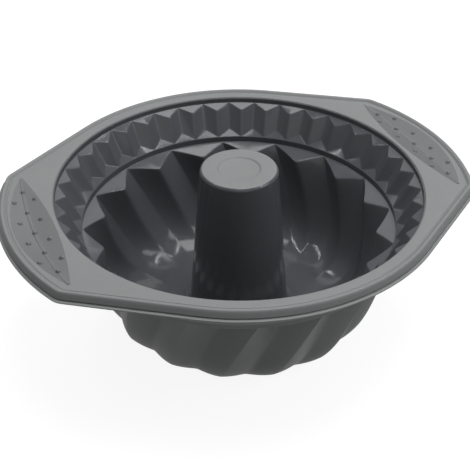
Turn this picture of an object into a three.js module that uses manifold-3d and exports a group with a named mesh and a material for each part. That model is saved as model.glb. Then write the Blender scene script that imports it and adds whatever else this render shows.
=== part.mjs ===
// Silicone ring-cake mould: a flat rim with two wing handles, a crimped collar,
// a bowl of swirling flutes and a tall hollow centre tube.
// Millimetres, +Z up. The origin is on the table under the tube, and +X runs along the handles.
import * as THREE from "three";
import { mergeVertices } from "three/addons/utils/BufferGeometryUtils.js";
import Module from "manifold-3d";

const wasm = await Module();
wasm.setup();

// Rim and handles
const RIM_HEIGHT = 97; // table to the flat top of the flange
const OPENING_RADIUS = 112; // inner edge of the flange
const FLANGE_WIDTH = 13.6; // opening to the outside of the bead, away from the handles
const FLANGE_THICKNESS = 2.6;
const WING_LENGTH = 20.4; // how far a handle reaches past the round rim
const WING_HALF_WIDTH = 55; // middle of a handle to the centre of its corner arc
const WING_CORNER_RADIUS = 12;
const WING_EDGE_RADIUS = 140; // outer edge of a handle

// Rolled bead round the rim, and the wire moulded into it
const BEAD_WIDTH = 6.4;
const BEAD_SEAT = 5.9; // outside of the bead to the edge of the flange plate
const BEAD_RISE = 0.7; // crown above the flange top
const BEAD_DROP = 5.7; // underside below the flange top
const WIRE_RADIUS = 1;
const WIRE_CLEARANCE = 0.3;
const PIN_HOLE_RADIUS = 1.2; // left by the pins that hold the wire in the tool
const PIN_HOLE_COUNT = 8;

// Leaf-shaped grips
const GRIP_HALF_LENGTH = 56;
const GRIP_HALF_WIDTH = 11.6;
const GRIP_TIP_HALF_WIDTH = 0.8;
const GRIP_EDGE_MARGIN = 0.7; // leaf to the bead
const GRIP_BOW = 5; // how far the tips of a leaf lie nearer the opening than its middle
const GRIP_DIP = 3; // depth of the crease along the leaf
const NUB_RADIUS = 1.6;
const NUB_HEIGHT = 1;
const NUB_ROW_SPACING = 6;
const NUB_PITCH = 21;
const NUB_MIDDLE_COUNT = 5;

// Crimped collar
const CRIMP_COUNT = 38;
const CRIMP_START_ANGLE = 8.4; // degrees from +X to the first ridge
const CRIMP_TOP_DROP = 4; // flange top to the start of the crimps
const CRIMP_HEIGHT = 20;
const CRIMP_TIP_INSET = 6.7; // opening edge to the upper ridge tips
const CRIMP_TIP_DROP = 3; // how far the tops of the ridges slope down to their tips
const CRIMP_FOOT_DEPTH = 5.6; // depth of the crimps at their foot
const CRIMP_FOOT_RISE = 4; // how far the feet of the roots slope up
const STEP_INSET = 14.6; // opening edge to the plain step under the crimps
const STEP_HEIGHT = 3.7;
const COLLAR_TAPER = 8; // loss of outer radius on the way down
const COLLAR_BAND_HEIGHT = 3.5;
const COLLAR_BAND_INSET = 0.8;

// Bowl
const WALL = 2.2;
const FLUTE_COUNT = 16;
const FLUTE_START_ANGLE = 17; // degrees from +X to the first ridge
const FLUTE_DEPTH = 12.3; // depth of the flutes at the top of the bowl
const FLUTE_SWIRL = 17.5; // degrees that a flute turns on its way down, clockwise from above
const HOLLOW_LEAN = 12.5; // how far the wall in a flute leans in on its way down
const HOLLOW_TURN_HEIGHT = 25; // where that wall turns towards the floor
const HOLLOW_CORNER_INSET = 9.8; // how far the floor corner of a flute lies inside its top edge
const RIDGE_DROP = 4.3; // how far the tops of the ridges slope down to their tips
const RIDGE_LEAN = 2;
const RIDGE_TURN_HEIGHT = 20;
const RIDGE_CORNER_INSET = 6;
const LEDGE_LIP = 0.5; // top ledge proud of the flutes outside
const FOOT_MARGIN = 13.5; // tube to the start of the flutes on the floor

// Centre tube
const TUBE_HEIGHT = 106.5;
const TUBE_TOP_RADIUS = 24;
const TUBE_BASE_RADIUS = 32.5;
const TUBE_FOOT_FILLET = 6;
const CAP_THICKNESS = 3.4;
const CAP_EDGE_RADIUS = 2.4;
const CAP_DISH_RADIUS = 13;
const CAP_DISH_DEPTH = 0.8;

// How finely round forms are cut
const TUBE_STEPS = 48;
const RIM_ARC_STEPS = 13;
const CORNER_ARC_STEPS = 5;
const WING_ARC_STEPS = 8;
const BEAD_STEPS = 11;
const WIRE_STEPS = 6;
const FLUTE_STEPS = 6;
const WALL_STEPS = 7;
const GRIP_STEPS = 16;
const GRIP_ACROSS = 4;
const FILLET_STEPS = 4;
const NUB_STEPS = 6;
const NUB_RINGS = 3;
const WELD = 0.0001; // points nearer than this are one

// Sizes that follow from those above
const RIM_RADIUS = OPENING_RADIUS + FLANGE_WIDTH;
const WING_REACH = RIM_RADIUS + WING_LENGTH;
const FLANGE_UNDERSIDE = RIM_HEIGHT - FLANGE_THICKNESS;
const CRIMP_TOP = RIM_HEIGHT - CRIMP_TOP_DROP;
const CRIMP_FLOOR = CRIMP_TOP - CRIMP_HEIGHT;
const STEP_RADIUS = OPENING_RADIUS - STEP_INSET;
const BOWL_TOP = CRIMP_FLOOR - STEP_HEIGHT;
const FOOT_RADIUS = TUBE_BASE_RADIUS + FOOT_MARGIN;
const TUBE_HOLLOW_RADIUS = TUBE_BASE_RADIUS - WALL;
const CAP_SEAT = TUBE_HEIGHT - CAP_THICKNESS;
const FLUTE_ANGLE = 360 / FLUTE_COUNT;

const silicone = (colour, roughness) =>
  new THREE.MeshStandardMaterial({ color: colour, roughness, metalness: 0 });
const steel = new THREE.MeshStandardMaterial({ color: 0xb9bcc0, roughness: 0.35, metalness: 1 });

const radians = THREE.MathUtils.degToRad;
const lerp = THREE.MathUtils.lerp;

// A point at a given radius, angle and height.
function polar(radius, angle, height) {
  return new THREE.Vector3(radius * Math.cos(angle), radius * Math.sin(angle), height);
}

// A closed geometry as a solid, with its faces turned outwards.
function solidOf(geometry) {
  const bare = geometry.clone();
  bare.deleteAttribute("normal");
  bare.deleteAttribute("uv");
  const welded = mergeVertices(bare, WELD);
  const corners = welded.index.array;
  const faces = [];
  for (let i = 0; i < corners.length; i += 3) {
    const [a, b, c] = corners.subarray(i, i + 3);
    if (a !== b && b !== c && c !== a) faces.push(a, b, c);
  }
  const build = (triVerts) =>
    new wasm.Manifold(
      new wasm.Mesh({ numProp: 3, vertProperties: welded.attributes.position.array, triVerts }),
    );
  const solid = build(new Uint32Array(faces));
  return solid.volume() > 0 ? solid : build(new Uint32Array(faces.reverse()));
}

function geometryOf(solid) {
  const mesh = solid.getMesh();
  const geometry = new THREE.BufferGeometry();
  geometry.setAttribute("position", new THREE.BufferAttribute(mesh.vertProperties, 3));
  geometry.setIndex(new THREE.BufferAttribute(mesh.triVerts, 1));
  geometry.computeVertexNormals();
  return geometry;
}

function piece(name, solid, material) {
  const mesh = new THREE.Mesh(geometryOf(solid), material);
  mesh.name = name;
  return mesh;
}

// A profile of [radius, height] points turned about Z.
function turned(profile, steps) {
  const points = profile.map(([radius, height]) => new THREE.Vector2(radius, height));
  return solidOf(new THREE.LatheGeometry(points, steps).rotateX(Math.PI / 2));
}

// A closed ring of points turned about Z, and a plain disc.
const turnedRing = (profile, steps) => turned([...profile, profile[0]], steps);
const disc = (radius, low, high, steps) =>
  turned(
    [
      [0, low],
      [radius, low],
      [radius, high],
      [0, high],
    ],
    steps,
  );

// Faces along sections that close on themselves, from each to the next and from the last to the first.
function loftFaces(sections, spans) {
  const count = sections[0].length;
  const index = [];
  for (let j = 0; j < spans; j++) {
    const here = j * count;
    const next = ((j + 1) % sections.length) * count;
    for (let i = 0; i < count; i++) {
      const k = (i + 1) % count;
      index.push(here + i, next + i, next + k, here + i, next + k, here + k);
    }
  }
  return index;
}

function solidFrom(points, index) {
  return solidOf(new THREE.BufferGeometry().setFromPoints(points).setIndex(index));
}

const loop = (sections) => solidFrom(sections.flat(), loftFaces(sections, sections.length));

// A loft with two ends. Each end is a ladder of faces between the first and second halves of its section.
function loft(sections) {
  const count = sections[0].length;
  const last = count * (sections.length - 1);
  const index = loftFaces(sections, sections.length - 1);
  for (let i = 0; i < count / 2 - 1; i++) {
    const back = count - 1 - i;
    index.push(i, i + 1, back - 1, i, back - 1, back);
    index.push(last + i, last + back, last + back - 1, last + i, last + back - 1, last + i + 1);
  }
  return solidFrom(sections.flat(), index);
}

// The rim's outline as points with outward normals: wing edges, corner arcs, flanks and the round rim.
const cornerToEdge = WING_EDGE_RADIUS - WING_CORNER_RADIUS;
const wingCentre = WING_REACH - WING_EDGE_RADIUS;
const corner = new THREE.Vector2(
  wingCentre + Math.sqrt(cornerToEdge ** 2 - WING_HALF_WIDTH ** 2),
  WING_HALF_WIDTH,
);
const edgeEnd = Math.asin(WING_HALF_WIDTH / cornerToEdge);
const flank = corner.angle() + Math.acos((RIM_RADIUS - WING_CORNER_RADIUS) / corner.length());

function arc(centreX, centreY, radius, from, to, steps) {
  return Array.from({ length: steps + 1 }, (_, i) => {
    const turn = lerp(from, to, i / steps);
    const normal = new THREE.Vector2(Math.cos(turn), Math.sin(turn));
    return { normal, point: new THREE.Vector2(centreX, centreY).addScaledVector(normal, radius) };
  });
}

function halfOutline() {
  const { x, y } = corner;
  return [
    ...arc(x, -y, WING_CORNER_RADIUS, -flank, -edgeEnd, CORNER_ARC_STEPS),
    ...arc(wingCentre, 0, WING_EDGE_RADIUS, -edgeEnd, edgeEnd, WING_ARC_STEPS).slice(1, -1),
    ...arc(x, y, WING_CORNER_RADIUS, edgeEnd, flank, CORNER_ARC_STEPS),
    ...arc(0, 0, RIM_RADIUS, flank, Math.PI - flank, RIM_ARC_STEPS),
  ];
}

const opposite = ({ point, normal }) => ({
  point: point.clone().negate(),
  normal: normal.clone().negate(),
});
const rim = [...halfOutline(), ...halfOutline().map(opposite)];
const inset = ({ point, normal }, depth) => point.clone().addScaledVector(normal, -depth);

// A section of [inset, height] points swept round the rim.
function sweptRim(section) {
  return loop(
    rim.map((place) =>
      section.map(([depth, height]) => {
        const { x, y } = inset(place, depth);
        return new THREE.Vector3(x, y, height);
      }),
    ),
  );
}

// Bead section: an ellipse cut flat where the flange plate meets it
const beadMiddle = BEAD_WIDTH / 2;
const beadHalfHeight = (BEAD_RISE + BEAD_DROP) / 2;
const beadCentreHeight = RIM_HEIGHT + BEAD_RISE - beadHalfHeight;

function beadSection() {
  const cut = Math.acos((BEAD_SEAT - beadMiddle) / beadMiddle);
  return Array.from({ length: BEAD_STEPS + 1 }, (_, i) => {
    const turn = lerp(cut, 2 * Math.PI - cut, i / BEAD_STEPS);
    return [beadMiddle + beadMiddle * Math.cos(turn), beadCentreHeight + beadHalfHeight * Math.sin(turn)];
  });
}

function roundSection(radius) {
  return Array.from({ length: WIRE_STEPS }, (_, i) => {
    const turn = (2 * Math.PI * i) / WIRE_STEPS;
    return [beadMiddle + radius * Math.cos(turn), beadCentreHeight + radius * Math.sin(turn)];
  });
}

function rimBead() {
  let bead = sweptRim(beadSection()).subtract(sweptRim(roundSection(WIRE_RADIUS + WIRE_CLEARANCE)));
  const stride = rim.length / PIN_HOLE_COUNT;
  for (let i = 0; i < PIN_HOLE_COUNT; i++) {
    const { x, y } = inset(rim[Math.round((i + 0.5) * stride)], beadMiddle);
    const hole = disc(PIN_HOLE_RADIUS, beadCentreHeight - 2 * beadHalfHeight, beadCentreHeight, WIRE_STEPS);
    bead = bead.subtract(hole.translate([x, y, 0]));
  }
  return bead;
}

// Leaf outline of a grip, in its own frame with Y along the leaf
const gripMiddle = WING_REACH - BEAD_SEAT - GRIP_EDGE_MARGIN - GRIP_HALF_WIDTH;
const swell = (along) => 1 - (along / GRIP_HALF_LENGTH) ** 2;
const gripCentre = (along) => gripMiddle - GRIP_BOW * (1 - swell(along));
const leafHalfWidth = (along) => lerp(GRIP_TIP_HALF_WIDTH, GRIP_HALF_WIDTH, swell(along));
const leafX = (across, along) => gripCentre(along) + across * leafHalfWidth(along);
const leafStations = Array.from({ length: GRIP_STEPS + 1 }, (_, i) =>
  lerp(-GRIP_HALF_LENGTH, GRIP_HALF_LENGTH, i / GRIP_STEPS),
);

function leafOutline(side) {
  const edge = (across) =>
    leafStations.map((along) => new THREE.Vector2(side * leafX(across, along), along));
  return [...edge(1), ...edge(-1).reverse()];
}

// Angles of the crimps, a ridge and a root in turn. The flange opening has the same corners.
const crimpAngles = Array.from(
  { length: 2 * CRIMP_COUNT },
  (_, i) => radians(CRIMP_START_ANGLE) + (Math.PI * i) / CRIMP_COUNT,
);

function rimFlange() {
  const plate = new THREE.Shape(rim.map((place) => inset(place, BEAD_SEAT)));
  const opening = crimpAngles.map((angle) => {
    const { x, y } = polar(OPENING_RADIUS, angle, 0);
    return new THREE.Vector2(x, y);
  });
  plate.holes = [opening, leafOutline(1), leafOutline(-1)].map((points) => new THREE.Path(points));
  const geometry = new THREE.ExtrudeGeometry(plate, { depth: FLANGE_THICKNESS, bevelEnabled: false });
  return solidOf(geometry.translate(0, 0, FLANGE_UNDERSIDE));
}

// Depth of the creased leaf below the flange top, across and along it.
const leafDip = (across, along) => GRIP_DIP * swell(along) * (1 - Math.abs(across));

function gripPad(side) {
  const rows = leafStations.map((along) =>
    Array.from({ length: GRIP_ACROSS + 1 }, (_, i) => {
      const across = lerp(-1, 1, i / GRIP_ACROSS);
      const height = RIM_HEIGHT - leafDip(across, along);
      return new THREE.Vector3(side * leafX(across, along), along, height);
    }),
  );
  const top = rows.flat();
  const bottom = top.map((point) => point.clone().setZ(point.z - FLANGE_THICKNESS));
  const width = GRIP_ACROSS + 1;
  const index = [];
  const quad = (a, b, c, d) => index.push(a, b, c, a, c, d);
  for (let j = 0; j < GRIP_STEPS; j++) {
    for (let i = 0; i < GRIP_ACROSS; i++) {
      const at = j * width + i;
      quad(at, at + 1, at + 1 + width, at + width);
      quad(top.length + at, top.length + at + width, top.length + at + width + 1, top.length + at + 1);
    }
  }
  const edge = [
    ...Array.from({ length: GRIP_ACROSS }, (_, i) => i),
    ...Array.from({ length: GRIP_STEPS }, (_, j) => j * width + GRIP_ACROSS),
    ...Array.from({ length: GRIP_ACROSS }, (_, i) => top.length - 1 - i),
    ...Array.from({ length: GRIP_STEPS }, (_, j) => top.length - width - j * width),
  ];
  edge.forEach((from, i) => {
    const to = edge[(i + 1) % edge.length];
    quad(from, top.length + from, top.length + to, to);
  });
  return solidFrom([...top, ...bottom], index);
}

// Three rows of nubs, the outer two set between the nubs of the middle one.
function nubPlaces() {
  return [-1, 0, 1].flatMap((row) => {
    const count = NUB_MIDDLE_COUNT - Math.abs(row);
    return Array.from({ length: count }, (_, i) => ({
      out: row * NUB_ROW_SPACING,
      along: (i - (count - 1) / 2) * NUB_PITCH,
    }));
  });
}

function grip(side) {
  return nubPlaces().reduce((pad, { out, along }) => {
    const height = RIM_HEIGHT - leafDip(out / leafHalfWidth(along), along);
    const nub = new THREE.SphereGeometry(NUB_RADIUS, NUB_STEPS, NUB_RINGS);
    nub.scale(1, NUB_HEIGHT / NUB_RADIUS, 1).rotateX(Math.PI / 2);
    nub.translate(side * (gripCentre(along) + out), along, height);
    return pad.add(solidOf(nub));
  }, gripPad(side));
}

// Crimps ruled between an upper and a lower zigzag, with a plain step below. The outside is round.
function crimpedCollar() {
  const outerTop = OPENING_RADIUS + WALL;
  const outerFloor = outerTop - COLLAR_TAPER;
  const bandRadius = outerFloor - COLLAR_BAND_INSET;
  const ledge = CRIMP_FLOOR - WALL;
  const bandTop = ledge + COLLAR_BAND_HEIGHT;
  const ridge = [
    [OPENING_RADIUS - CRIMP_TIP_INSET, CRIMP_TOP - CRIMP_TIP_DROP],
    [STEP_RADIUS, CRIMP_FLOOR],
  ];
  const root = [
    [OPENING_RADIUS, CRIMP_TOP],
    [STEP_RADIUS + CRIMP_FOOT_DEPTH, CRIMP_FLOOR + CRIMP_FOOT_RISE],
  ];
  const sections = crimpAngles.map((angle, i) => {
    const profile = [
      [outerTop, FLANGE_UNDERSIDE],
      [OPENING_RADIUS, FLANGE_UNDERSIDE],
      [OPENING_RADIUS, CRIMP_TOP],
      ...(i % 2 ? root : ridge),
      [STEP_RADIUS, CRIMP_FLOOR],
      [STEP_RADIUS, BOWL_TOP],
      [STEP_RADIUS + WALL, BOWL_TOP],
      [STEP_RADIUS + WALL, ledge],
      [bandRadius, ledge],
      [bandRadius, bandTop],
      [outerFloor, bandTop],
    ];
    return profile.map(([radius, height]) => polar(radius, angle, height));
  });
  return loop(sections);
}

// Wall lines of the bowl from its top edge to the flat foot, in the hollow and along the ridge of a flute.
// The outside lines lie one wall further out and lower.
const ridgeRadius = STEP_RADIUS - FLUTE_DEPTH;

function wallLine({ radius, height, lean, turnHeight, cornerRadius }, outset) {
  const footHeight = WALL - outset;
  return new THREE.CubicBezierCurve(
    new THREE.Vector2(radius + outset, height - outset),
    new THREE.Vector2(radius + outset - lean, turnHeight - outset),
    new THREE.Vector2(cornerRadius + outset, footHeight),
    new THREE.Vector2(FOOT_RADIUS, footHeight),
  );
}

const hollowLine = {
  radius: STEP_RADIUS,
  height: BOWL_TOP,
  lean: HOLLOW_LEAN,
  turnHeight: HOLLOW_TURN_HEIGHT,
  cornerRadius: STEP_RADIUS - HOLLOW_CORNER_INSET,
};
const ridgeLine = {
  radius: ridgeRadius,
  height: BOWL_TOP - RIDGE_DROP,
  lean: RIDGE_LEAN,
  turnHeight: RIDGE_TURN_HEIGHT,
  cornerRadius: ridgeRadius - RIDGE_CORNER_INSET,
};
const wallLines = (outset) => ({
  hollow: wallLine(hollowLine, outset),
  ridge: wallLine(ridgeLine, outset),
});

// How far the bowl has turned at a height, and a point that turns with it. Columns count from a ridge.
const swirl = (height) => -radians(FLUTE_SWIRL) * (1 - height / BOWL_TOP);
const columnAngle = (column) => (radians(FLUTE_ANGLE) * column) / FLUTE_STEPS;
const swirled = (radius, column, height) => polar(radius, columnAngle(column) + swirl(height), height);

// A flute is a sharp V at the top of the bowl and a round hollow between sharp ridges at its foot.
function fluteWave(column, depth) {
  const offMiddle = Math.abs((2 * column) / FLUTE_STEPS - 1);
  const sharp = 1 - offMiddle;
  return lerp(sharp, Math.sin((sharp * Math.PI) / 2), depth);
}

// One flute of the bowl's wall from ridge to ridge, with its share of the top ledge. The ledge is flat
// under the collar and slopes down to the ridges.
function fluteWall() {
  const insideLines = wallLines(0);
  const outsideLines = wallLines(WALL);
  const ledgeUnderside = BOWL_TOP - WALL;
  const seatRadius = STEP_RADIUS + WALL;
  const ledgeRadius = seatRadius + LEDGE_LIP;
  const shares = Array.from({ length: WALL_STEPS + 1 }, (_, i) => i / WALL_STEPS);
  const sections = Array.from({ length: FLUTE_STEPS + 1 }, (_, column) => {
    const wallPoint = ({ ridge, hollow }, share) => {
      const { x, y } = ridge.getPoint(share).lerp(hollow.getPoint(share), fluteWave(column, share));
      return swirled(x, column, y);
    };
    return [
      swirled(ledgeRadius, column, BOWL_TOP),
      swirled(STEP_RADIUS, column, BOWL_TOP),
      ...shares.map((share) => wallPoint(insideLines, share)),
      ...shares.map((share) => wallPoint(outsideLines, share)).reverse(),
      swirled(seatRadius, column, ledgeUnderside),
      swirled(ledgeRadius, column, ledgeUnderside),
    ];
  });
  return loft(sections);
}

// The flat ring that the mould stands on, cut round its outside where the flutes end.
function footRing() {
  return loop(
    Array.from({ length: FLUTE_COUNT * FLUTE_STEPS }, (_, column) => [
      swirled(FOOT_RADIUS, column, WALL),
      swirled(FOOT_RADIUS, column, 0),
      swirled(TUBE_HOLLOW_RADIUS, column, 0),
      swirled(TUBE_HOLLOW_RADIUS, column, WALL),
    ]),
  );
}

// Points of a quarter-round between two directions, about a centre in a profile.
function fillet(centreRadius, centreHeight, size, from, to) {
  return Array.from({ length: FILLET_STEPS + 1 }, (_, i) => {
    const turn = radians(lerp(from, to, i / FILLET_STEPS));
    return [centreRadius + size * Math.cos(turn), centreHeight + size * Math.sin(turn)];
  });
}

// Outer radius of the tapering tube at a height.
const tubeRadius = (height) =>
  lerp(TUBE_BASE_RADIUS, TUBE_TOP_RADIUS, (height - WALL) / (TUBE_HEIGHT - WALL));

function centreTube() {
  const filletTop = WALL + TUBE_FOOT_FILLET;
  const profile = [
    [TUBE_HOLLOW_RADIUS, WALL],
    ...fillet(tubeRadius(filletTop) + TUBE_FOOT_FILLET, filletTop, TUBE_FOOT_FILLET, 270, 180),
    [tubeRadius(CAP_SEAT), CAP_SEAT],
    [tubeRadius(CAP_SEAT) - WALL, CAP_SEAT],
  ];
  return turnedRing(profile, TUBE_STEPS);
}

function tubeCap() {
  const edgeCentre = TUBE_HEIGHT - CAP_EDGE_RADIUS;
  const profile = [
    [0, CAP_SEAT],
    [tubeRadius(CAP_SEAT), CAP_SEAT],
    ...fillet(tubeRadius(edgeCentre) - CAP_EDGE_RADIUS, edgeCentre, CAP_EDGE_RADIUS, 0, 90),
    [CAP_DISH_RADIUS, TUBE_HEIGHT],
    [CAP_DISH_RADIUS - CAP_DISH_DEPTH, TUBE_HEIGHT - CAP_DISH_DEPTH],
    [0, TUBE_HEIGHT - CAP_DISH_DEPTH],
  ];
  return turned(profile, TUBE_STEPS);
}

const satin = () => silicone(0x7c7e7e, 0.5);
const glossy = () => silicone(0x4c4e52, 0.22);

// The bowl's own frame starts at a ridge. The same flute stands round it once for every flute angle.
const bowl = new THREE.Group();
bowl.rotation.z = radians(FLUTE_START_ANGLE);
const flute = fluteWall();
for (let i = 0; i < FLUTE_COUNT; i++) {
  const wall = piece(`flute_${String(i + 1).padStart(2, "0")}`, flute, glossy());
  wall.rotation.z = radians(FLUTE_ANGLE) * i;
  bowl.add(wall);
}
bowl.add(piece("foot_ring", footRing(), glossy()));

const mould = new THREE.Group();
mould.add(
  piece("rim_flange", rimFlange(), satin()),
  piece("rim_bead", rimBead(), satin()),
  piece("rim_wire", sweptRim(roundSection(WIRE_RADIUS)), steel),
  piece("right_grip", grip(1), satin()),
  piece("left_grip", grip(-1), satin()),
  piece("crimped_collar", crimpedCollar(), glossy()),
  bowl,
  piece("centre_tube", centreTube(), glossy()),
  piece("tube_cap", tubeCap(), satin()),
);

export default mould;
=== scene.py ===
import math

import bmesh
import bpy
import numpy as np
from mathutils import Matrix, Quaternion, Vector
from mathutils.geometry import tessellate_polygon


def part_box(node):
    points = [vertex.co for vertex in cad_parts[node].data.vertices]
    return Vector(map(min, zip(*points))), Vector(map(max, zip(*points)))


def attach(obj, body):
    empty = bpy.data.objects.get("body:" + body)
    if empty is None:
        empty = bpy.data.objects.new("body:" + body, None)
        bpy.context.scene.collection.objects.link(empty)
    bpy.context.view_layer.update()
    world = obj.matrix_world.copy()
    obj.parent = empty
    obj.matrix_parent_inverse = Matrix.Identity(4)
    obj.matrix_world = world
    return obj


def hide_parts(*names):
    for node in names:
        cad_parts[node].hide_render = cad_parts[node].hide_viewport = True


bl_info = {
    "name": "Silicone ring cake mould",
    "version": (1, 0, 0),
    "blender": (4, 5, 0),
    "location": "View3D > Sidebar > Cake mould",
    "description": "Models the silicone of a ring cake mould round its packed frame, and sets its studio",
    "category": "Object",
}

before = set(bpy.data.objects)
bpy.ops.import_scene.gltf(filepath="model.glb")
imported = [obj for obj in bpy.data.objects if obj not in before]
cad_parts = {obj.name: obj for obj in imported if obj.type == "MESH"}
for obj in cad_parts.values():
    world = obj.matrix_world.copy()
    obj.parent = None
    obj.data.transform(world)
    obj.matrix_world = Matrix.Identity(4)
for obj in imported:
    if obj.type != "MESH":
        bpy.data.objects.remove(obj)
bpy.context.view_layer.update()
FLUTES = 16
BOWL_NODES = [*(f"flute_{i:02d}" for i in range(1, FLUTES + 1)), "foot_ring"]
FLANGE_LOW, FLANGE_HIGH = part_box("rim_flange")
BOWL_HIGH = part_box(BOWL_NODES[0])[1]
CAP_LOW, CAP_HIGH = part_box("tube_cap")
BODY = "root"

# Steps of the meshes, round a piece or along a curve
FLANGE_STEPS = 288
FLANGE_EDGE_STEPS = 4
RIM_ARC_STEPS = 60
WING_EDGE_STEPS = 40
WING_CORNER_STEPS = 12
WING_FLANK_STEPS = 11
LEAF_STEPS = 96
GRIP_STEPS_ACROSS = 72
GRIP_STEPS_ALONG = 320
STEPS_PER_CRIMP = 32
STEPS_PER_FLUTE = 40
BOWL_WALL_STEPS = 48
TUBE_STEPS = 192
TUBE_ROWS = 12
TUBE_FILLET_STEPS = 12
TUBE_EDGE_STEPS = 8
DISH_STEPS = 8
EASE_STEPS = 3
BOWL_EASE_STEPS = 4
BEAD_EASE_STEPS = 6

# Meshes: the angle where shading breaks, and the lengths that count as none
SHARP_ANGLE = math.radians(38)
MERGE_DISTANCE = 1e-6
SHORTEST_ARM = 1e-9

# Eased edges: their radii, then shares of a section's line, of a leaf's half width and of a crimp's height
CRISP_EDGE = 0.0003
COLLAR_EDGE = 0.0007
BOWL_EDGE = 0.0010
LONGEST_EASE = 0.45
CREASE_EASE = 0.08
CRIMP_ROWS = (0.1, 0.5, 0.9)

# Silicone: noise scale and detail of each texture, and the tone's range
SKIN_CLOUDS = (28, 5)
SKIN_GRAIN = (1500, 3)
SKIN_SPECKS = (420, 2)
SKIN_WAVES = (120, 1)
SKIN_TONES = (0.9, 1.1)
SILICONE_IOR = 1.42

# Skins: unevenness of the gloss, depth of the grain and strength of the slow wobble
SATIN_SKIN = (0.12, 0.00004, 1)
GRIP_SKIN = (0.02, 0.000004, 1)
POLISHED_SKIN = (0.06, 0.00002, 2.5)

# Wire: gloss, noise scale of its streaks, and the tone's range
WIRE_ROUGHNESS = 0.35
WIRE_STREAKS = 900
WIRE_TONES = (0.85, 1.1)

# Stage: pixels along the photograph's side, millimetres across the sensor, and the floor
PHOTO_SIDE = 470
SENSOR_WIDTH = 36
FLOOR_HALF = 4.0
FLOOR_GAP = 0.0002
FLOOR_ROUGHNESS = 0.9

# Strength of a white as light, in reflections and to the camera
SURROUND_LEVELS = (0.09, 0.25, 1.0)
FLOOR_LEVELS = (0.0, 0.5, 0.9)

# Lamps: name, place as the camera sees it (to its right, away from it, up), size and power
LAMPS = (
    ("top_softbox", (0.12, 0.10, 1.25), (0.8, 0.8), 10.0),
    ("front_fill", (0.25, -1.3, 0.5), (1.2, 0.9), 1.5),
    ("right_fill", (1.25, -0.25, 0.95), (0.8, 0.8), 5.5),
    ("back_panel", (0.0, 1.35, 1.15), (2.4, 0.9), 7.2),
    ("left_strip", (-0.64, 0.12, 1.0), (0.9, 0.022), 1.8),
    ("right_strip", (0.56, 0.19, 1.0), (0.9, 0.022), 1.8),
)


# Property makers

def length(name, description, default):
    return bpy.props.FloatProperty(
        name=name, description=description, default=default, unit="LENGTH", precision=5
    )


def turn(name, description, degrees):
    return bpy.props.FloatProperty(
        name=name, description=description, default=math.radians(degrees), subtype="ANGLE", unit="ROTATION"
    )


def share(name, description, default):
    return bpy.props.FloatProperty(
        name=name, description=description, default=default, min=0, max=1, subtype="FACTOR"
    )


def number(name, description, default):
    return bpy.props.FloatProperty(name=name, description=description, default=default)


def count(name, description, default):
    return bpy.props.IntProperty(name=name, description=description, default=default, min=1)


def colour(name, description, default):
    return bpy.props.FloatVectorProperty(
        name=name, description=description, default=default, size=3, min=0, max=1, subtype="COLOR"
    )


class RimSizes(bpy.types.PropertyGroup):
    """Flat flange, wing handles and rolled bead."""

    height: length("Height", "Table to the flat top of the flange", FLANGE_HIGH.z)
    thickness: length("Thickness", "Of the flange plate", FLANGE_HIGH.z - FLANGE_LOW.z)
    opening: length("Opening radius", "Inner edge of the flange", 0.112)
    width: length("Width", "Opening to the outside of the rim, away from the handles", 0.0136)
    wing_length: length("Wing length", "How far a handle reaches past the round rim", 0.0204)
    wing_half_width: length("Wing half width", "Middle of a handle to the centre of its corner", 0.055)
    corner_radius: length("Corner radius", "Of a handle's corners", 0.012)
    edge_radius: length("Edge radius", "Of a handle's outer edge", 0.140)
    edge_round: length("Edge round", "Rounding of the flange's own edges", 0.0008)
    bead_width: length("Bead width", "Across the rolled bead, without its lip", 0.0064)
    bead_seat: length("Bead seat", "Outside of the rim to the edge of the flange plate", 0.0071)
    bead_rise: length("Bead rise", "Crown of the bead above the flange", 0.0013)
    bead_drop: length("Bead drop", "Underside of the bead below the flange", 0.0043)
    bead_blend: length("Bead blend", "Width of the groove between the flange and the crown", 0.0024)
    bead_groove: length("Bead groove", "Depth of that groove", 0.0005)
    bead_round: length("Bead round", "Rounding of the bead's outer shoulder", 0.0024)
    lip_height: length("Lip height", "Of the thin lip at the foot of the bead", 0.0011)
    lip_groove: length("Lip groove", "Depth of the groove above that lip", 0.0008)
    lip_reach: length("Lip reach", "How far that lip stands out past the bead", 0.0012)


class GripSizes(bpy.types.PropertyGroup):
    """Leaf-shaped hollows with nubs in the wing handles."""

    half_length: length("Half length", "Middle of a leaf to its tip", 0.056)
    half_width: length("Half width", "Across the middle of a leaf", 0.0116)
    tip_half_width: length("Tip half width", "Across the tip of a leaf", 0.0008)
    margin: length("Margin", "Leaf to the bead", 0.0007)
    bow: length("Bow", "How far the tips lie nearer the opening than the middle", 0.005)
    dip: length("Dip", "Depth of the crease along a leaf", 0.003)
    vein_height: length("Vein height", "Of the fine rib in the crease", 0.0004)
    vein_radius: length("Vein radius", "Half the width of that rib", 0.0009)
    nub_radius: length("Nub radius", "Of the nubs", 0.0014)
    nub_height: length("Nub height", "Of the nubs", 0.0013)
    nub_rows: length("Row spacing", "Between the rows of nubs", 0.006)
    nub_pitch: length("Nub pitch", "Between the nubs of a row", 0.021)
    nub_count: count("Nubs", "In the middle row", 5)


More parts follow.
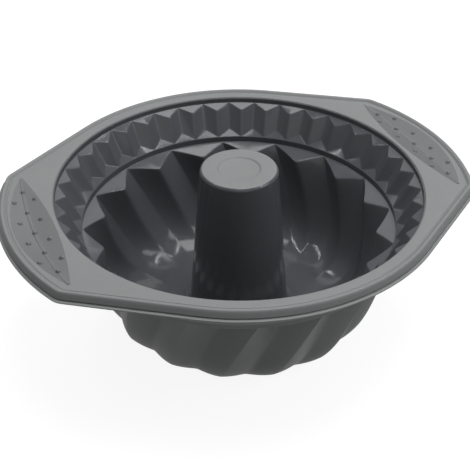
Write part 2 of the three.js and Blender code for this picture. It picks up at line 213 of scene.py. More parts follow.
class CollarSizes(bpy.types.PropertyGroup):
    """Ring of crimps between the flange and the bowl."""

    crimps: count("Crimps", "Round the collar", 38)
    start: turn("Start", "From +X to the first ridge", 8.4)
    top_drop: length("Top drop", "Flange top to the start of the crimps", 0.004)
    crimp_height: length("Crimp height", "Of the crimped wall", 0.020)
    tip_inset: length("Tip inset", "Opening edge to the upper ridge tips", 0.0067)
    tip_drop: length("Tip drop", "How far the tops of the ridges slope down to their tips", 0.003)
    foot_depth: length("Foot depth", "Depth of the crimps at their foot", 0.0056)
    foot_rise: length("Foot rise", "How far the feet of the roots slope up", 0.004)
    step_inset: length("Step inset", "Opening edge to the plain step under the crimps", 0.0146)
    wall: length("Wall", "Thickness of the moulding", 0.0022)
    taper: length("Taper", "Loss of outer radius on the way down", 0.008)
    band_height: length("Band height", "Of the band at the foot of the collar", 0.0035)
    band_inset: length("Band inset", "How far that band lies in", 0.0008)
    lip: length("Lip", "Width of the collar's polished top inside the opening", 0.0006)
    soft: share("Softness", "Rounding of the crimps as a share of their half width", 0.08)


class BowlSizes(bpy.types.PropertyGroup):
    """Fluted bowl with its top ledge and flat foot."""

    top: length("Top", "Table to the top ledge", BOWL_HIGH.z)
    flutes: count("Flutes", "Round the bowl", FLUTES)
    start: turn("Start", "From +X to the first ridge at the top", 17)
    depth: length("Depth", "Of the flutes at the top of the bowl", 0.0123)
    drop: length("Drop", "How far the tops of the ridges slope down to their tips", 0.0043)
    swirl: turn("Swirl", "That a flute turns on its way down, clockwise from above", 17.5)
    hollow_lean: length("Hollow lean", "How far the wall in a flute leans in on its way down", 0.0125)
    hollow_turn: length("Hollow turn", "Height where that wall turns towards the floor", 0.025)
    hollow_inset: length("Hollow inset", "Floor corner of a flute inside its top edge", 0.0098)
    ridge_lean: length("Ridge lean", "How far a ridge leans in on its way down", 0.002)
    ridge_turn: length("Ridge turn", "Height where a ridge turns towards the floor", 0.020)
    ridge_inset: length("Ridge inset", "Floor corner of a ridge inside its top", 0.006)
    lip: length("Lip", "Top ledge proud of the flutes outside", 0.0005)
    foot_margin: length("Foot margin", "Tube to the start of the flutes on the floor", 0.0135)
    ridge_soft: share("Ridge softness", "Rounding of the ridges as a share of a flute's half width", 0.10)
    hollow_soft: share("Hollow softness", "Rounding of the hollows as a share of a flute's half width", 0.05)


class TubeSizes(bpy.types.PropertyGroup):
    """Tapering centre tube and its closed top."""

    height: length("Height", "Table to the top of the tube", CAP_HIGH.z)
    seat: length("Cap seat", "Height where the closed top begins", CAP_LOW.z)
    top_radius: length("Top radius", "Of the tube at its top", 0.024)
    base_radius: length("Base radius", "Of the tube at the floor", 0.0325)
    fillet: length("Fillet", "Between the tube and the floor", 0.006)
    cap_round: length("Cap round", "Rounding of the top edge", 0.0024)
    polish: turn("Polish", "How far the tube's polish runs up the rounded top edge", 62)
    dish_radius: length("Dish radius", "Of the shallow dish in the top", 0.013)
    dish_slope: length("Dish slope", "Width of the slope round the dish", 0.0014)
    dish_depth: length("Dish depth", "Of the shallow dish in the top", 0.0008)


class Finishes(bpy.types.PropertyGroup):
    """Colours and gloss of the silicone, the wire and the floor."""

    satin: colour("Satin silicone", "Grey of the flange, the bead and the tube's top", (0.200, 0.206, 0.208))
    grip: colour("Grip silicone", "Grey of the leaves", (0.138, 0.142, 0.144))
    # The cavity's grey is set darker than the satin grey of the same silicone: partly for its polish, partly
    # as painted shade of the deep cavity
    polished: colour("Polished silicone", "Dark grey of the cavity", (0.084, 0.090, 0.097))
    outer: colour("Outer silicone", "Grey of the mould's outside under the rim", (0.205, 0.210, 0.212))
    rim_roughness: share("Rim roughness", "Of the flange, the bead and the tube's top", 0.5)
    grip_roughness: share("Grip roughness", "Of the leaves", 0.28)
    cavity_roughness: share("Cavity roughness", "Of the cavity", 0.11)
    outer_roughness: share("Outer roughness", "Of the mould's outside under the rim", 0.42)
    wire: colour("Wire", "Drawn stainless wire", (0.48, 0.5, 0.53))
    floor: colour("Floor", "Pale studio floor", (0.21, 0.21, 0.21))


class StageSettings(bpy.types.PropertyGroup):
    """Camera and lamps."""

    distance: length("Distance", "Camera to the middle of the mouth", 0.5614)
    azimuth: turn("Azimuth", "Camera's turn from the front towards the left handle", 24.0)
    elevation: turn("Elevation", "Camera's height above the rim's plane", 32.46)
    roll: turn("Roll", "Camera's turn about its own line of sight", 0.26)
    focal_pixels: number("Focal length in pixels", "Of the photograph", 916.7)
    centre_x: number("Mouth centre X", "Pixel column of the middle of the mouth", 239.15)
    centre_y: number("Mouth centre Y", "Pixel row of the middle of the mouth", 181.26)


# Mesh making

class Shell:
    """Points and faces of one mesh, made from loops of points."""

    def __init__(self):
        self.points = []
        self.faces = []

    def loop(self, points):
        first = len(self.points)
        self.points.extend(tuple(p) for p in points)
        return list(range(first, len(self.points)))

    def bridge(self, near, far):
        """Quads between two closed loops of the same length."""
        for i in range(len(near)):
            k = (i + 1) % len(near)
            self.faces.append((near[i], near[k], far[k], far[i]))

    def sweep(self, rows, closed=False):
        """Quads along a list of loops, and from the last to the first where closed."""
        loops = [self.loop(row) for row in rows]
        for near, far in zip(loops, loops[1:]):
            self.bridge(near, far)
        if closed:
            self.bridge(loops[-1], loops[0])
        return loops

    def fan(self, loop, point):
        """Triangles from a loop to a middle point."""
        middle = self.loop([point])[0]
        for i in range(len(loop)):
            self.faces.append((loop[i], loop[(i + 1) % len(loop)], middle))

    def fill(self, loops):
        """A flat face with holes: the first loop is its edge."""
        flat = [index for loop in loops for index in loop]
        outlines = [[Vector(self.points[i]) for i in loop] for loop in loops]
        for a, b, c in tessellate_polygon(outlines):
            self.faces.append((flat[a], flat[b], flat[c]))

    def build(self, name, material, slot, *nodes):
        """The mesh as an object that rides on the mould's body and stands for its CAD nodes."""
        mesh = bpy.data.meshes.new(name)
        mesh.from_pydata(self.points, [], self.faces)
        bm = bmesh.new()
        bm.from_mesh(mesh)
        bmesh.ops.remove_doubles(bm, verts=bm.verts, dist=MERGE_DISTANCE)
        bmesh.ops.dissolve_degenerate(bm, edges=bm.edges, dist=MERGE_DISTANCE)
        bmesh.ops.recalc_face_normals(bm, faces=bm.faces)
        for face in bm.faces:
            face.smooth = True
        for edge in bm.edges:
            edge.smooth = edge.calc_face_angle(0) < SHARP_ANGLE
        bm.to_mesh(mesh)
        bm.free()
        mesh.materials.append(material)
        piece = bpy.data.objects.new(name, mesh)
        bpy.context.scene.collection.objects.link(piece)
        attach(piece, BODY)
        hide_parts(*nodes)


def ring(radius, height, angles):
    """Points round Z at a radius, height and angles that may each vary."""
    height = np.broadcast_to(height, np.shape(angles))
    return np.stack([radius * np.cos(angles), radius * np.sin(angles), height], -1)


def round_angles(steps):
    return np.linspace(0, 2 * np.pi, steps, endpoint=False)


def rounded(section, radii, steps=EASE_STEPS):
    """A section of [radius, height] corners, each of them a row over the columns, with its corners eased."""
    rows = [section[0]]
    for before, here, after, radius in zip(section, section[1:], section[2:], radii):
        arms = []
        for other in (before, after):
            arm = other - here
            size = np.maximum(np.linalg.norm(arm, axis=-1, keepdims=True), SHORTEST_ARM)
            arms.append(here + arm / size * np.minimum(radius, LONGEST_EASE * size))
        for t in np.linspace(0, 1, steps + 1):
            rows.append((1 - t) ** 2 * arms[0] + 2 * t * (1 - t) * here + t**2 * arms[1])
    rows.append(section[-1])
    return rows


def zigzag(phase, ridge_ease, root_ease):
    """0 at a ridge and 1 at a root, with both eased; phase counts ridges."""
    away = np.abs((phase + 0.5) % 1 - 0.5) * 2
    up = np.sqrt(away**2 + ridge_ease**2) - ridge_ease
    return 1 - (np.sqrt((1 - up) ** 2 + root_ease**2) - root_ease)


def plain(radius, height, angles):
    """A row of the same [radius, height] at every angle."""
    return np.tile((radius, height), (len(angles), 1))


def between(ridge, root, wave):
    """A row of [radius, height] that runs from a ridge to a root with the wave."""
    ridge, root = np.asarray(ridge), np.asarray(root)
    return ridge + (root - ridge) * wave[:, None]


# Rim outline

def arc(centre, radius, start, end, steps):
    turns = np.linspace(start, end, steps + 1)
    normals = np.stack([np.cos(turns), np.sin(turns)], -1)
    return np.asarray(centre) + radius * normals, normals


def rim_outline(rim):
    """Points of the rim's outside with their outward normals."""
    rim_radius = rim.opening + rim.width
    reach = rim_radius + rim.wing_length
    inner = rim.edge_radius - rim.corner_radius
    middle = reach - rim.edge_radius
    corner = np.array([middle + math.sqrt(inner**2 - rim.wing_half_width**2), rim.wing_half_width])
    edge_end = math.asin(rim.wing_half_width / inner)
    lean = math.acos((rim_radius - rim.corner_radius) / np.hypot(*corner))
    flank = math.atan2(corner[1], corner[0]) + lean
    parts = [
        arc(corner * (1, -1), rim.corner_radius, -flank, -edge_end, WING_CORNER_STEPS),
        arc((middle, 0), rim.edge_radius, -edge_end, edge_end, WING_EDGE_STEPS),
        arc(corner, rim.corner_radius, edge_end, flank, WING_CORNER_STEPS),
        arc((0, 0), rim_radius, flank, math.pi - flank, RIM_ARC_STEPS),
    ]
    flank_steps = np.linspace(0, 1, WING_FLANK_STEPS + 1)[1:-1, None]
    points, normals = [], []
    for place, (here, facing) in enumerate(parts):
        skip = 1 if place in (1, 2) else 0
        if place == 3:
            points.append(points[-1][-1] + (here[0] - points[-1][-1]) * flank_steps)
            normals.append(np.repeat(facing[:1], len(flank_steps), 0))
        points.append(here[skip:])
        normals.append(facing[skip:])
    half, facing = np.concatenate(points), np.concatenate(normals)
    closing = half[-1] + (-half[0] - half[-1]) * flank_steps
    half = np.concatenate([half, closing])
    facing = np.concatenate([facing, np.repeat(facing[-1:], len(closing), 0)])
    return np.concatenate([half, -half]), np.concatenate([facing, -facing])


def rim_loop(rim, inset, height):
    points, normals = rim_outline(rim)
    place = points - inset * normals
    return np.column_stack([place, np.full(len(place), height)])


# Leaf-shaped grips

def leaf_swell(grip, along):
    return 1 - (along / grip.half_length) ** 2


def leaf_half_width(grip, along):
    return grip.tip_half_width + (grip.half_width - grip.tip_half_width) * leaf_swell(grip, along)


def leaf_centre(rim, grip, along):
    reach = rim.opening + rim.width + rim.wing_length
    middle = reach - rim.bead_seat - grip.margin - grip.half_width
    return middle - grip.bow * (1 - leaf_swell(grip, along))


def leaf_outline(rim, grip, side):
    along = np.linspace(-grip.half_length, grip.half_length, LEAF_STEPS + 1)
    centre, half = leaf_centre(rim, grip, along), leaf_half_width(grip, along)
    outer = np.column_stack([side * (centre + half), along])
    inner = np.column_stack([side * (centre - half), along])
    return np.concatenate([outer, inner[::-1]])


# Materials

def node_group(name, inputs, outputs):
    """An empty shader node group with its sockets, given as names and kinds."""
    tree = bpy.data.node_groups.new(name, "ShaderNodeTree")
    for direction, sockets in (("INPUT", inputs), ("OUTPUT", outputs)):
        for socket, kind in sockets.items():
            tree.interface.new_socket(socket, in_out=direction, socket_type="NodeSocket" + kind)
    return tree


def math_node(tree, operation, *operands):
    """Result of a Math node whose operands are numbers or other nodes' sockets."""
    node = tree.nodes.new("ShaderNodeMath")
    node.operation = operation
    for socket, operand in zip(node.inputs, operands):
        if isinstance(operand, bpy.types.NodeSocket):
            tree.links.new(operand, socket)
        else:
            socket.default_value = operand
    return node.outputs["Value"]


def tinted(tree, tone, noise, tones):
    """Result of a tone, a colour or a socket, that a noise between 0 and 1 scales within a range."""
    level = tree.nodes.new("ShaderNodeMapRange")
    level.inputs["To Min"].default_value, level.inputs["To Max"].default_value = tones
    tint = tree.nodes.new("ShaderNodeVectorMath")
    tint.operation = "SCALE"
    if isinstance(tone, bpy.types.NodeSocket):
        tree.links.new(tone, tint.inputs[0])
    else:
        tint.inputs[0].default_value = tone
    tree.links.new(noise, level.inputs["Value"])
    tree.links.new(level.outputs["Result"], tint.inputs["Scale"])
    return tint.outputs["Vector"]


def moulded_skin():
    """Node group of a silicone skin: cloudy tone, uneven gloss, fine grain and a slow wobble."""
    tree = node_group(
        "moulded skin",
        {"Colour": "Color", "Gloss": "Float", "Unevenness": "Float", "Wobble": "Float"},
        {"Colour": "Color", "Roughness": "Float", "Height": "Float"},
    )
    nodes, links = tree.nodes, tree.links
    inputs, outputs = nodes.new("NodeGroupInput"), nodes.new("NodeGroupOutput")
    place = nodes.new("ShaderNodeTexCoord")
    noises = []
    for scale, detail in (SKIN_CLOUDS, SKIN_GRAIN, SKIN_SPECKS, SKIN_WAVES):
        texture = nodes.new("ShaderNodeTexNoise")
        texture.inputs["Scale"].default_value = scale
        texture.inputs["Detail"].default_value = detail
        links.new(place.outputs["Object"], texture.inputs["Vector"])
        noises.append(texture.outputs["Fac"])
    clouds, grain, specks, waves = noises
    colour_in, gloss, unevenness, wobble = inputs.outputs[:4]
    mottle = math_node(tree, "MULTIPLY_ADD", specks, 0.5, math_node(tree, "MULTIPLY", clouds, 0.5))
    links.new(tinted(tree, colour_in, mottle, SKIN_TONES), outputs.inputs["Colour"])
    swing = math_node(tree, "SUBTRACT", specks, 0.5)
    links.new(math_node(tree, "MULTIPLY_ADD", swing, unevenness, gloss), outputs.inputs["Roughness"])
    links.new(math_node(tree, "MULTIPLY_ADD", waves, wobble, grain), outputs.inputs["Height"])
    return tree


def outside_mask():
    """Node group that is 1 on skin that faces away from the mould's axis or down, and 0 in the cavity, where
    the darker grey with painted shade stays.
    """
    tree = node_group("outside mask", {}, {"Mask": "Float"})
    nodes, links = tree.nodes, tree.links
    outputs = nodes.new("NodeGroupOutput")
    place, facing = nodes.new("ShaderNodeTexCoord"), nodes.new("ShaderNodeNewGeometry")
    flat, away, tilted, along = (nodes.new("ShaderNodeVectorMath") for _ in range(4))
    flat.operation, away.operation = "MULTIPLY", "NORMALIZE"
    tilted.operation, along.operation = "SUBTRACT", "DOT_PRODUCT"
    flat.inputs[1].default_value = (1, 1, 0)
    tilted.inputs[1].default_value = (0, 0, 1)
    links.new(place.outputs["Object"], flat.inputs[0])
    links.new(flat.outputs["Vector"], away.inputs[0])
    links.new(away.outputs["Vector"], tilted.inputs[0])
    links.new(tilted.outputs["Vector"], along.inputs[0])
    links.new(facing.outputs["True Normal"], along.inputs[1])
    links.new(math_node(tree, "GREATER_THAN", along.outputs["Value"], 0), outputs.inputs["Mask"])
    return tree


def silicone(name, tone, roughness, skin):
    unevenness, grain_depth, wobble = skin
    skin_group = bpy.data.node_groups.get("moulded skin") or moulded_skin()
    material = bpy.data.materials.new(name)
    material.use_nodes = True
    nodes, links = material.node_tree.nodes, material.node_tree.links
    shader = nodes["Principled BSDF"]
    group = nodes.new("ShaderNodeGroup")
    group.node_tree = skin_group
    group.inputs["Colour"].default_value = (*tone, 1)
    group.inputs["Gloss"].default_value = roughness
    group.inputs["Unevenness"].default_value = unevenness
    group.inputs["Wobble"].default_value = wobble
    bump = nodes.new("ShaderNodeBump")
    bump.inputs["Distance"].default_value = grain_depth
    links.new(group.outputs["Height"], bump.inputs["Height"])
    links.new(group.outputs["Colour"], shader.inputs["Base Color"])
    links.new(group.outputs["Roughness"], shader.inputs["Roughness"])
    links.new(bump.outputs["Normal"], shader.inputs["Normal"])
    shader.inputs["IOR"].default_value = SILICONE_IOR
    return material


def two_sided(material, tone, roughness):
    """Gives the mould's outside its own tone and gloss, and leaves the cavity its darker grey, which is
    partly painted shade.
    """
    nodes, links = material.node_tree.nodes, material.node_tree.links
    skin = nodes["Group"]
    mask = nodes.new("ShaderNodeGroup")
    mask.node_tree = outside_mask()
    tones = nodes.new("ShaderNodeMix")
    tones.data_type = "RGBA"
    tones.inputs["A"].default_value = skin.inputs["Colour"].default_value
    tones.inputs["B"].default_value = (*tone, 1)
    gloss = nodes.new("ShaderNodeMix")
    gloss.inputs["A"].default_value = skin.inputs["Gloss"].default_value
    gloss.inputs["B"].default_value = roughness
    for mix, name in ((tones, "Colour"), (gloss, "Gloss")):
        links.new(mask.outputs["Mask"], mix.inputs["Factor"])
        links.new(mix.outputs["Result"], skin.inputs[name])
    return material


def drawn_wire(tone):
    material = bpy.data.materials.new("drawn wire")
    material.use_nodes = True
    nodes, links = material.node_tree.nodes, material.node_tree.links
    shader = nodes["Principled BSDF"]
    shader.inputs["Metallic"].default_value = 1
    shader.inputs["Roughness"].default_value = WIRE_ROUGHNESS
    streaks = nodes.new("ShaderNodeTexNoise")
    streaks.inputs["Scale"].default_value = WIRE_STREAKS
    shade = tinted(material.node_tree, tone, streaks.outputs["Fac"], WIRE_TONES)
    links.new(shade, shader.inputs["Base Color"])
    return material


def finish(name):
    """A finish by name, made on first use."""
    if name in bpy.data.materials:
        return bpy.data.materials[name]
    look = bpy.context.scene.mould_finishes
    if name == "satin silicone":
        return silicone(name, look.satin, look.rim_roughness, SATIN_SKIN)
    if name == "grip silicone":
        return silicone(name, look.grip, look.grip_roughness, GRIP_SKIN)
    # The cavity's darker grey carries painted shade of the cavity along with its polish
    cavity = silicone(name, look.polished, look.cavity_roughness, POLISHED_SKIN)
    if name == "polished silicone":
        return cavity
    return two_sided(cavity, look.outer, look.outer_roughness)


# Operators

class MakeFlange(bpy.types.Operator):
    """Flat flange with both wings, open at the mouth and at the two leaves"""

    bl_idname = "mould.flange"
    bl_label = "Flange"

    def execute(self, context):
        rim, grip, collar = context.scene.mould_rim, context.scene.mould_grips, context.scene.mould_collar
        low = rim.height - rim.thickness
        shell = Shell()
        angles = round_angles(FLANGE_STEPS)
        inner = rim.opening + collar.lip
        ease = rim.edge_round
        outer = shell.sweep([rim_loop(rim, rim.bead_seat, height) for height in (rim.height, low)])
        turns = np.linspace(math.pi / 2, 0, FLANGE_EDGE_STEPS + 1)
        edge = [
            ring(inner + ease * (1 - math.cos(t)), rim.height - ease * (1 - math.sin(t)), angles)
            for t in turns
        ]
        opening = shell.sweep([*edge, ring(inner, low, angles)])
        leaves = []
        for side in (1, -1):
            outline = leaf_outline(rim, grip, side)
            levels = [np.column_stack([outline, np.full(len(outline), z)]) for z in (rim.height, low)]
            leaves.append(shell.sweep(levels))
        for end in (0, -1):
            shell.fill([outer[end], opening[end], *(leaf[end] for leaf in leaves)])
        shell.build("flange", finish("satin silicone"), "satin_silicone", "rim_flange")
        return {"FINISHED"}


class MakeBead(bpy.types.Operator):
    """Rolled bead round the flange and the wings"""

    bl_idname = "mould.bead"
    bl_label = "Bead"

    def execute(self, context):
        rim = context.scene.mould_rim
        groove = rim.lip_height - rim.bead_drop
        outside = rim.lip_reach
        face = outside + 0.4 * rim.lip_groove
        blend_start = rim.bead_seat - 0.1 * rim.bead_blend
        blend_foot = rim.bead_seat - 0.35 * rim.bead_blend
        crown_end = outside + 0.7 * rim.bead_round
        lip_top = groove - 0.4 * rim.lip_height
        corners = [
            (rim.bead_seat, 0),
            (blend_start, 0),
            (blend_foot, -rim.bead_groove),
            (rim.bead_seat - rim.bead_blend, rim.bead_rise),
            (crown_end, rim.bead_rise),
            (face, -rim.bead_round),
            (face, groove + rim.lip_groove),
            (outside + rim.lip_groove, groove),
            (0, lip_top),
            (0, -rim.bead_drop),
            (outside + rim.bead_width / 2, -rim.bead_drop),
            (rim.bead_seat, -rim.thickness),
        ]
        blend, shoulder, fine = 0.3 * rim.bead_blend, rim.bead_round, 0.3 * rim.lip_height
        easing = [fine, blend, shoulder, shoulder, shoulder, fine, fine, fine, fine, shoulder]
        shell = Shell()
        section = rounded([np.array(corner) for corner in corners], easing, BEAD_EASE_STEPS)
        shell.sweep([rim_loop(rim, inset, rim.height + rise) for inset, rise in section], closed=True)
        shell.build("bead", finish("satin silicone"), "satin_silicone", "rim_bead")
        return {"FINISHED"}


class MakeGrips(bpy.types.Operator):
    """Creased leaves with three rows of nubs"""

    bl_idname = "mould.grips"
    bl_label = "Grips"

    def surface(self, rim, grip, across, along):
        """Height of a leaf's top, creased along the middle, with its nubs."""
        half = leaf_half_width(grip, along)
        crease = np.sqrt(across**2 + CREASE_EASE**2) - CREASE_EASE
        depth = 1 - crease / (math.hypot(1, CREASE_EASE) - CREASE_EASE)
        height = rim.height - grip.dip * leaf_swell(grip, along) * depth
        out = across * half
        height = height + grip.vein_height * np.sqrt(np.clip(1 - (out / grip.vein_radius) ** 2, 0, 1))
        for row in (-1, 0, 1):
            in_row = grip.nub_count - abs(row)
            for i in range(in_row):
                away = np.hypot(out - row * grip.nub_rows, along - (i - (in_row - 1) / 2) * grip.nub_pitch)
                dome = np.clip(1 - (away / grip.nub_radius) ** 2, 0, 1)
                height = height + grip.nub_height * np.sqrt(dome)
        return height

    def execute(self, context):
        rim, grip = context.scene.mould_rim, context.scene.mould_grips
        spread = np.linspace(-1, 1, GRIP_STEPS_ACROSS + 1)
        stations = np.linspace(-grip.half_length, grip.half_length, GRIP_STEPS_ALONG + 1)
        across, along = np.meshgrid(spread, stations)
        top = self.surface(rim, grip, across, along)
        crease = grip.dip * leaf_swell(grip, along) * (1 - np.abs(across))
        bottom = rim.height - rim.thickness - crease
        for name, side in (("right_grip", 1), ("left_grip", -1)):
            x = side * (leaf_centre(rim, grip, along) + across * leaf_half_width(grip, along))
            shell = Shell()
            sheets = []
            for height in (top, bottom):
                points = np.stack([x, along, height], -1)
                rows = [shell.loop(row) for row in points]
                for near, far in zip(rows, rows[1:]):
                    for i in range(GRIP_STEPS_ACROSS):
                        shell.faces.append((near[i], near[i + 1], far[i + 1], far[i]))
                near_side, far_side = [row[0] for row in rows], [row[-1] for row in rows]
                sheets.append([*rows[0], *far_side[1:], *rows[-1][-2::-1], *near_side[-2:0:-1]])
            shell.bridge(*sheets)
            shell.build(name + "_leaf", finish("grip silicone"), "satin_silicone", name)
        return {"FINISHED"}


class MakeCollar(bpy.types.Operator):
    """Collar of crimps ruled between an upper and a lower zigzag, with a plain step below"""

    bl_idname = "mould.collar"
    bl_label = "Crimped collar"

    def execute(self, context):
        rim, collar, bowl = context.scene.mould_rim, context.scene.mould_collar, context.scene.mould_bowl
        angles = round_angles(collar.crimps * STEPS_PER_CRIMP)
        wave = zigzag((angles - collar.start) * collar.crimps / (2 * math.pi), collar.soft, collar.soft)
        opening, step = rim.opening, rim.opening - collar.step_inset
        low = rim.height - rim.thickness
        top = rim.height - collar.top_drop
        floor = top - collar.crimp_height
        upper = between((opening - collar.tip_inset, top - collar.tip_drop), (opening, top), wave)
        lower = between((step, floor), (step + collar.foot_depth, floor + collar.foot_rise), wave)
        inside = [
            plain(opening + collar.lip, low, angles),
            plain(opening + collar.lip, rim.height - rim.edge_round, angles),
            plain(opening, rim.height - rim.edge_round, angles),
            plain(opening, top, angles),
            upper,
            *(upper + (lower - upper) * t for t in CRIMP_ROWS),
            lower,
            plain(step, floor, angles),
            plain(step, bowl.top, angles),
        ]
        crisp, eased = CRISP_EDGE, COLLAR_EDGE
        rows = rounded(inside, [0, crisp, crisp, eased, 0, 0, 0, eased, crisp])
        outer_top = opening + collar.wall
        outer_floor = outer_top - collar.taper
        band = outer_floor - collar.band_inset
        ledge = floor - collar.wall
        outside = [
            plain(step + collar.wall, bowl.top, angles),
            plain(step + collar.wall, ledge, angles),
            plain(band, ledge, angles),
            plain(band, ledge + collar.band_height, angles),
            plain(outer_floor, ledge + collar.band_height, angles),
            plain(outer_top, low, angles),
        ]
        rows += rounded(outside, [eased, eased, crisp, crisp])
        shell = Shell()
        shell.sweep([ring(*row.T, angles) for row in rows], closed=True)
        # Inside, the collar takes the cavity's darker grey, which carries painted shade
        shell.build("collar", finish("two sided silicone"), "glossy_silicone", "crimped_collar")
        return {"FINISHED"}


class MakeBowl(bpy.types.Operator):
    """Bowl of swirling flutes with its top ledge and flat foot"""

    bl_idname = "mould.bowl"
    bl_label = "Fluted bowl"

    def execute(self, context):
        scene = context.scene
        rim, collar, bowl, tube = scene.mould_rim, scene.mould_collar, scene.mould_bowl, scene.mould_tube
        wall, step = collar.wall, rim.opening - collar.step_inset
        ridge_radius = step - bowl.depth
        foot = tube.base_radius + bowl.foot_margin
        bore = tube.base_radius - wall
        angles = bowl.start + round_angles(bowl.flutes * STEPS_PER_FLUTE)
        phase = (angles - bowl.start) * bowl.flutes / (2 * math.pi)
        sharp = zigzag(phase, bowl.ridge_soft, bowl.hollow_soft)
        rounding = np.sin(sharp * math.pi / 2) - sharp
        t = np.linspace(0, 1, BOWL_WALL_STEPS + 1)[:, None]
        weights = np.hstack([(1 - t) ** 3, 3 * t * (1 - t) ** 2, 3 * t**2 * (1 - t), t**3])

        def wall_rows(outset):
            """Rows of the wall from its top edge to the flat foot, each a wave from ridge to hollow."""
            low = wall - outset
            ridge = weights @ [
                (ridge_radius + outset, bowl.top - bowl.drop - outset),
                (ridge_radius + outset - bowl.ridge_lean, bowl.ridge_turn - outset),
                (ridge_radius + outset - bowl.ridge_inset, low),
                (foot, low),
            ]
            hollow = weights @ [
                (step + outset, bowl.top - outset),
                (step + outset - bowl.hollow_lean, bowl.hollow_turn - outset),
                (step + outset - bowl.hollow_inset, low),
                (foot, low),
            ]
            shares = np.linspace(0, 1, len(ridge))
            return [between(near, far, sharp + rounding * s) for near, far, s in zip(ridge, hollow, shares)]

        inside, outside = wall_rows(0), wall_rows(wall)[::-1]
        under = bowl.top - wall
        lip = step + wall + bowl.lip
        seat = [plain(step + 0.5 * wall, bowl.top, angles), plain(step, bowl.top, angles)]
        tail = [
            outside[-2],
            outside[-1],
            plain(step + wall, under, angles),
            plain(lip, under, angles),
            plain(lip, bowl.top, angles),
            seat[0],
        ]
        crisp, eased = CRISP_EDGE, BOWL_EDGE
        rows = [
            *rounded([*seat, inside[0], inside[2]], [crisp, eased], BOWL_EASE_STEPS)[:-1],
            *inside[2:],
            plain(bore, wall, angles),
            plain(bore, 0, angles),
            *outside[:-2],
            *rounded(tail, [eased, crisp, crisp, crisp])[:-1],
        ]
        shell = Shell()
        turned = [angles - bowl.swirl * (1 - row[:, 1] / bowl.top) for row in rows]
        shell.sweep([ring(*row.T, turns) for row, turns in zip(rows, turned)], closed=True)
        # Inside, the bowl takes the cavity's darker grey, which carries painted shade
        shell.build("bowl", finish("two sided silicone"), "glossy_silicone", *BOWL_NODES)
        return {"FINISHED"}


class MakeTube(bpy.types.Operator):
    """Tapering centre tube, hollow from below, and its closed top"""

    bl_idname = "mould.tube"
    bl_label = "Centre tube"

    def execute(self, context):
        tube, collar = context.scene.mould_tube, context.scene.mould_collar
        wall = collar.wall
        angles = round_angles(TUBE_STEPS)

        def radius(height):
            share_up = (height - wall) / (tube.height - wall)
            return tube.base_radius + (tube.top_radius - tube.base_radius) * share_up

        edge = tube.height - tube.cap_round
        shoulder = radius(edge) - tube.cap_round
        seat = (radius(tube.seat) - wall, tube.seat)

        def top_edge(start, end):
            """Points of the rounded top edge between two turns from level to upright."""
            points, _ = arc((shoulder, edge), tube.cap_round, start, end, TUBE_EDGE_STEPS)
            return points

        fillet_top = wall + tube.fillet
        fillet_centre = radius(fillet_top) + tube.fillet
        centre = (fillet_centre, fillet_top)
        fillet, _ = arc(centre, tube.fillet, 1.5 * math.pi, math.pi, TUBE_FILLET_STEPS)
        profile = [(tube.base_radius - wall, wall), *fillet]
        for height in np.linspace(fillet_top, edge, TUBE_ROWS)[1:-1]:
            profile.append((radius(height), height))
        profile += [*top_edge(0, tube.polish), seat]
        shell = Shell()
        shell.sweep([ring(r, z, angles) for r, z in profile], closed=True)
        # The tube's side takes the cavity's darker grey, which carries painted shade
        shell.build("tube", finish("polished silicone"), "glossy_silicone", "centre_tube")

        profile = [seat, *top_edge(tube.polish, math.pi / 2)]
        for t in np.linspace(0, 1, DISH_STEPS + 1):
            fall = tube.dish_depth * t * t * (3 - 2 * t)
            profile.append((tube.dish_radius + tube.dish_slope * (0.5 - t), tube.height - fall))
        shell = Shell()
        loops = shell.sweep([ring(r, z, angles) for r, z in profile])
        shell.fan(loops[0], (0, 0, tube.seat))
        shell.fan(loops[-1], (0, 0, tube.height - tube.dish_depth))
        shell.build("tube_top", finish("satin silicone"), "satin_silicone", "tube_cap")
        return {"FINISHED"}


class FinishWire(bpy.types.Operator):
    """Steel finish of the wire inside the bead"""

    bl_idname = "mould.wire"
    bl_label = "Bead wire"

    def execute(self, context):
        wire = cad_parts["rim_wire"]
        wire.data.materials.clear()
        wire.data.materials.append(drawn_wire(context.scene.mould_finishes.wire))
        return {"FINISHED"}


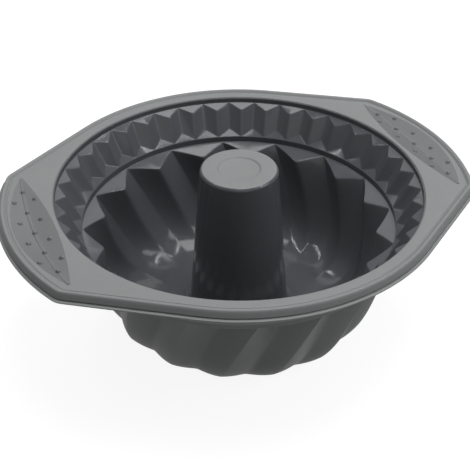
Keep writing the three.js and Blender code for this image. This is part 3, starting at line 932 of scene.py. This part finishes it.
class SetStage(bpy.types.Operator):
    """Camera, lamps, floor and white surround"""

    bl_idname = "mould.stage"
    bl_label = "Stage"

    def camera(self, scene):
        stage, rim = scene.mould_stage, scene.mould_rim
        mouth = Vector((0, 0, rim.height))
        flat = stage.distance * math.cos(stage.elevation)
        data = bpy.data.cameras.new("camera")
        data.sensor_width = SENSOR_WIDTH
        data.lens = data.sensor_width * stage.focal_pixels / PHOTO_SIDE
        camera = bpy.data.objects.new("camera", data)
        camera.location = mouth + Vector(
            (
                -flat * math.sin(stage.azimuth),
                -flat * math.cos(stage.azimuth),
                stage.distance * math.sin(stage.elevation),
            )
        )
        look = (mouth - camera.location).to_track_quat("-Z", "Y")
        camera.rotation_mode = "QUATERNION"
        camera.rotation_quaternion = look @ Quaternion((0, 0, 1), stage.roll)
        data.shift_x = 0.5 - stage.centre_x / PHOTO_SIDE
        data.shift_y = stage.centre_y / PHOTO_SIDE - 0.5
        scene.collection.objects.link(camera)
        scene.camera = camera

    def lamp(self, scene, name, place, aim, size, power):
        data = bpy.data.lights.new(name, "AREA")
        data.shape = "RECTANGLE"
        data.size, data.size_y = size
        data.energy = power
        lamp = bpy.data.objects.new(name, data)
        lamp.location = place
        lamp.rotation_mode = "QUATERNION"
        lamp.rotation_quaternion = (Vector(aim) - Vector(place)).to_track_quat("-Z", "Y")
        scene.collection.objects.link(lamp)

    def strength(self, nodes, links, lit, mirrored, seen):
        """A strength that differs for light, for reflections and for what the camera sees itself."""
        path = nodes.new("ShaderNodeLightPath")
        reflected, direct = nodes.new("ShaderNodeMix"), nodes.new("ShaderNodeMix")
        links.new(path.outputs["Is Glossy Ray"], reflected.inputs["Factor"])
        links.new(path.outputs["Is Camera Ray"], direct.inputs["Factor"])
        reflected.inputs["A"].default_value = lit
        reflected.inputs["B"].default_value = mirrored
        direct.inputs["B"].default_value = seen
        links.new(reflected.outputs["Result"], direct.inputs["A"])
        return direct.outputs["Result"]

    def surround(self, scene):
        world = bpy.data.worlds.new("surround")
        world.use_nodes = True
        scene.world = world
        nodes, links = world.node_tree.nodes, world.node_tree.links
        white = nodes["Background"]
        white.inputs["Color"].default_value = (1, 1, 1, 1)
        links.new(self.strength(nodes, links, *SURROUND_LEVELS), white.inputs["Strength"])

    def floor(self, scene):
        material = bpy.data.materials.new("studio floor")
        material.use_nodes = True
        nodes, links = material.node_tree.nodes, material.node_tree.links
        shader = nodes["Principled BSDF"]
        shader.inputs["Roughness"].default_value = FLOOR_ROUGHNESS
        shader.inputs["Base Color"].default_value = (*scene.mould_finishes.floor, 1)
        shader.inputs["Specular IOR Level"].default_value = 0
        glow = nodes.new("ShaderNodeEmission")
        links.new(self.strength(nodes, links, *FLOOR_LEVELS), glow.inputs["Strength"])
        both = nodes.new("ShaderNodeAddShader")
        links.new(shader.outputs["BSDF"], both.inputs[0])
        links.new(glow.outputs["Emission"], both.inputs[1])
        links.new(both.outputs["Shader"], nodes["Material Output"].inputs["Surface"])
        sides = ((-1, -1), (1, -1), (1, 1), (-1, 1))
        corners = [(x * FLOOR_HALF, y * FLOOR_HALF, -FLOOR_GAP) for x, y in sides]
        mesh = bpy.data.meshes.new("floor")
        mesh.from_pydata(corners, [], [(0, 1, 2, 3)])
        mesh.materials.append(material)
        floor = bpy.data.objects.new("floor", mesh)
        scene.collection.objects.link(floor)

    def execute(self, context):
        scene = context.scene
        self.camera(scene)
        self.surround(scene)
        self.floor(scene)
        turned = -scene.mould_stage.azimuth
        aim = (0, 0, scene.mould_rim.height)

        def seen(right, away, up):
            """A place given as the camera sees it: to its right, away from it, and up."""
            c, s = math.cos(turned), math.sin(turned)
            return (right * c - away * s, right * s + away * c, up)

        for name, place, size, power in LAMPS:
            self.lamp(scene, name, seen(*place), aim, size, power)
        scene.view_settings.view_transform = "Standard"
        return {"FINISHED"}


class MouldPanel(bpy.types.Panel):
    """Lists the mould's pieces and its stage"""

    bl_idname = "VIEW3D_PT_cake_mould"
    bl_label = "Cake mould"
    bl_space_type = "VIEW_3D"
    bl_region_type = "UI"
    bl_category = "Cake mould"

    def draw(self, context):
        for operator in OPERATORS:
            self.layout.operator(operator.bl_idname)


GROUPS = {
    "mould_rim": RimSizes,
    "mould_grips": GripSizes,
    "mould_collar": CollarSizes,
    "mould_bowl": BowlSizes,
    "mould_tube": TubeSizes,
    "mould_finishes": Finishes,
    "mould_stage": StageSettings,
}
OPERATORS = (MakeFlange, MakeBead, MakeGrips, MakeCollar, MakeBowl, MakeTube, FinishWire, SetStage)


def register():
    for name, group in GROUPS.items():
        bpy.utils.register_class(group)
        setattr(bpy.types.Scene, name, bpy.props.PointerProperty(type=group))
    for cls in (*OPERATORS, MouldPanel):
        bpy.utils.register_class(cls)


def unregister():
    for cls in (MouldPanel, *reversed(OPERATORS)):
        bpy.utils.unregister_class(cls)
    for name, group in reversed(GROUPS.items()):
        delattr(bpy.types.Scene, name)
        bpy.utils.unregister_class(group)


def main():
    register()
    bpy.ops.mould.flange()
    bpy.ops.mould.bead()
    bpy.ops.mould.grips()
    bpy.ops.mould.collar()
    bpy.ops.mould.bowl()
    bpy.ops.mould.tube()
    bpy.ops.mould.wire()
    bpy.ops.mould.stage()


if __name__ == "__main__":
    main()
